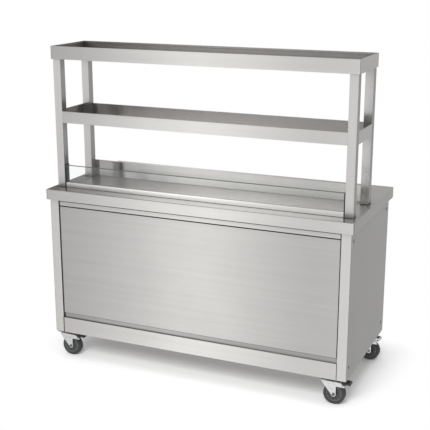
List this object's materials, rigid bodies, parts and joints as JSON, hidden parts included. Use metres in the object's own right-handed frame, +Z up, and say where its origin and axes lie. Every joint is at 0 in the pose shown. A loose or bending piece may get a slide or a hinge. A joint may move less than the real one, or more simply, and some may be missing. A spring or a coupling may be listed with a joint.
{
  "type": "juice display counter",
  "caption": "Stainless steel serving counter on braked swivel casters, with a flat deck, a glass guard, an open two-tier overshelf and sliding doors on the operator side.",
  "frame": {"origin": "floor level, below the centre of the counter top", "axes": "+X along the counter to the right seen from the customer side, +Y towards the operator side, +Z up"},
  "size_m": [1.5, 0.7, 1.526],
  "materials": {
    "stainless": "fine satin grain along each sheet",
    "clear_glass": "clear, polished edge",
    "black_rubber": "matt black",
    "track_aluminium": "plain extruded",
    "bright_screws": "plain turned heads",
    "zinc": "bright zinc plate",
    "grey_hub": "moulded, matt",
    "grey_tyre": "dark grey non-marking rubber",
    "black_pedal": "moulded, ribbed"
  },
  "bodies": {
    "counter": {"counter_top": "stainless", "back_guard": "stainless", "glass_channel": "stainless", "middle_shelf": "stainless", "top_shelf": "stainless", "top_rail_front": "stainless", "top_rail_rear": "stainless", "bottom_rail_front": "stainless", "bottom_rail_rear": "stainless", "bottom_rail_left": "stainless", "bottom_rail_right": "stainless", "front_panel": "stainless", "panel_stops": "stainless", "ledge_strip": "stainless", "side_panel_left": "stainless", "side_panel_right": "stainless", "cabinet_floor": "stainless", "inner_shelf": "stainless", "upright_front_left": "stainless", "upright_front_right": "stainless", "upright_rear_left": "stainless", "upright_rear_right": "stainless", "post_front_left": "stainless", "post_front_right": "stainless", "post_rear_left": "stainless", "post_rear_right": "stainless", "glass_guard": "clear_glass", "glass_seal": "black_rubber", "upright_foot_pads": "black_rubber", "door_tracks": "track_aluminium", "side_panel_screws": "bright_screws", "caster_bolts": "bright_screws", "caster_pads": "black_rubber", "caster_kingpins": "zinc", "caster_plate_front_left": "zinc", "caster_plate_front_right": "zinc", "caster_plate_rear_left": "zinc", "caster_plate_rear_right": "zinc"},
    "door_left_body": {"door_left": "stainless"},
    "door_right_body": {"door_right": "stainless"},
    "caster_front_left": {"caster_fork_front_left": "zinc", "caster_axle_front_left": "bright_screws"},
    "wheel_front_left": {"caster_wheel_front_left": "grey_hub", "caster_tyre_front_left": "grey_tyre"},
    "pedal_front_left": {"caster_pedal_front_left": "black_pedal"},
    "caster_front_right": {"caster_fork_front_right": "zinc", "caster_axle_front_right": "bright_screws"},
    "wheel_front_right": {"caster_wheel_front_right": "grey_hub", "caster_tyre_front_right": "grey_tyre"},
    "pedal_front_right": {"caster_pedal_front_right": "black_pedal"},
    "caster_rear_left": {"caster_fork_rear_left": "zinc", "caster_axle_rear_left": "bright_screws"},
    "wheel_rear_left": {"caster_wheel_rear_left": "grey_hub", "caster_tyre_rear_left": "grey_tyre"},
    "pedal_rear_left": {"caster_pedal_rear_left": "zinc"},
    "caster_rear_right": {"caster_fork_rear_right": "zinc", "caster_axle_rear_right": "bright_screws"},
    "wheel_rear_right": {"caster_wheel_rear_right": "grey_hub", "caster_tyre_rear_right": "grey_tyre"},
    "pedal_rear_right": {"caster_pedal_rear_right": "zinc"}
  },
  "joints": [
    {"name": "door_left_slide", "type": "slide", "parent": "counter", "child": "door_left_body", "axis": [1, 0, 0], "range_m": [0, 0.673]},
    {"name": "door_right_slide", "type": "slide", "parent": "counter", "child": "door_right_body", "axis": [-1, 0, 0], "range_m": [0, 0.673]},
    {"name": "swivel_front_left", "type": "hinge", "parent": "counter", "child": "caster_front_left", "pos_m": [-0.678, -0.276, 0.12], "axis": [0, 0, 1], "continuous": true},
    {"name": "roll_front_left", "type": "hinge", "parent": "caster_front_left", "child": "wheel_front_left", "pos_m": [-0.684, -0.276, 0.05], "axis": [0, 1, 0], "continuous": true},
    {"name": "brake_front_left", "type": "hinge", "parent": "caster_front_left", "child": "pedal_front_left", "pos_m": [-0.644, -0.276, 0.0965], "axis": [0, 1, 0], "range_deg": [0, 15]},
    {"name": "swivel_front_right", "type": "hinge", "parent": "counter", "child": "caster_front_right", "pos_m": [0.678, -0.276, 0.12], "axis": [0, 0, 1], "continuous": true},
    {"name": "roll_front_right", "type": "hinge", "parent": "caster_front_right", "child": "wheel_front_right", "pos_m": [0.672, -0.276, 0.05], "axis": [0, 1, 0], "continuous": true},
    {"name": "brake_front_right", "type": "hinge", "parent": "caster_front_right", "child": "pedal_front_right", "pos_m": [0.712, -0.276, 0.0965], "axis": [0, 1, 0], "range_deg": [0, 15]},
    {"name": "swivel_rear_left", "type": "hinge", "parent": "counter", "child": "caster_rear_left", "pos_m": [-0.678, 0.254, 0.12], "axis": [0, 0, 1], "continuous": true},
    {"name": "roll_rear_left", "type": "hinge", "parent": "caster_rear_left", "child": "wheel_rear_left", "pos_m": [-0.662, 0.254, 0.05], "axis": [0, 1, 0], "continuous": true},
    {"name": "brake_rear_left", "type": "hinge", "parent": "caster_rear_left", "child": "pedal_rear_left", "pos_m": [-0.636, 0.254, 0.102], "axis": [0, 1, 0], "range_deg": [0, 15]},
    {"name": "swivel_rear_right", "type": "hinge", "parent": "counter", "child": "caster_rear_right", "pos_m": [0.678, 0.254, 0.12], "axis": [0, 0, 1], "continuous": true},
    {"name": "roll_rear_right", "type": "hinge", "parent": "caster_rear_right", "child": "wheel_rear_right", "pos_m": [0.694, 0.254, 0.05], "axis": [0, 1, 0], "continuous": true},
    {"name": "brake_rear_right", "type": "hinge", "parent": "caster_rear_right", "child": "pedal_rear_right", "pos_m": [0.72, 0.254, 0.102], "axis": [0, 1, 0], "range_deg": [0, 15]}
  ]
}
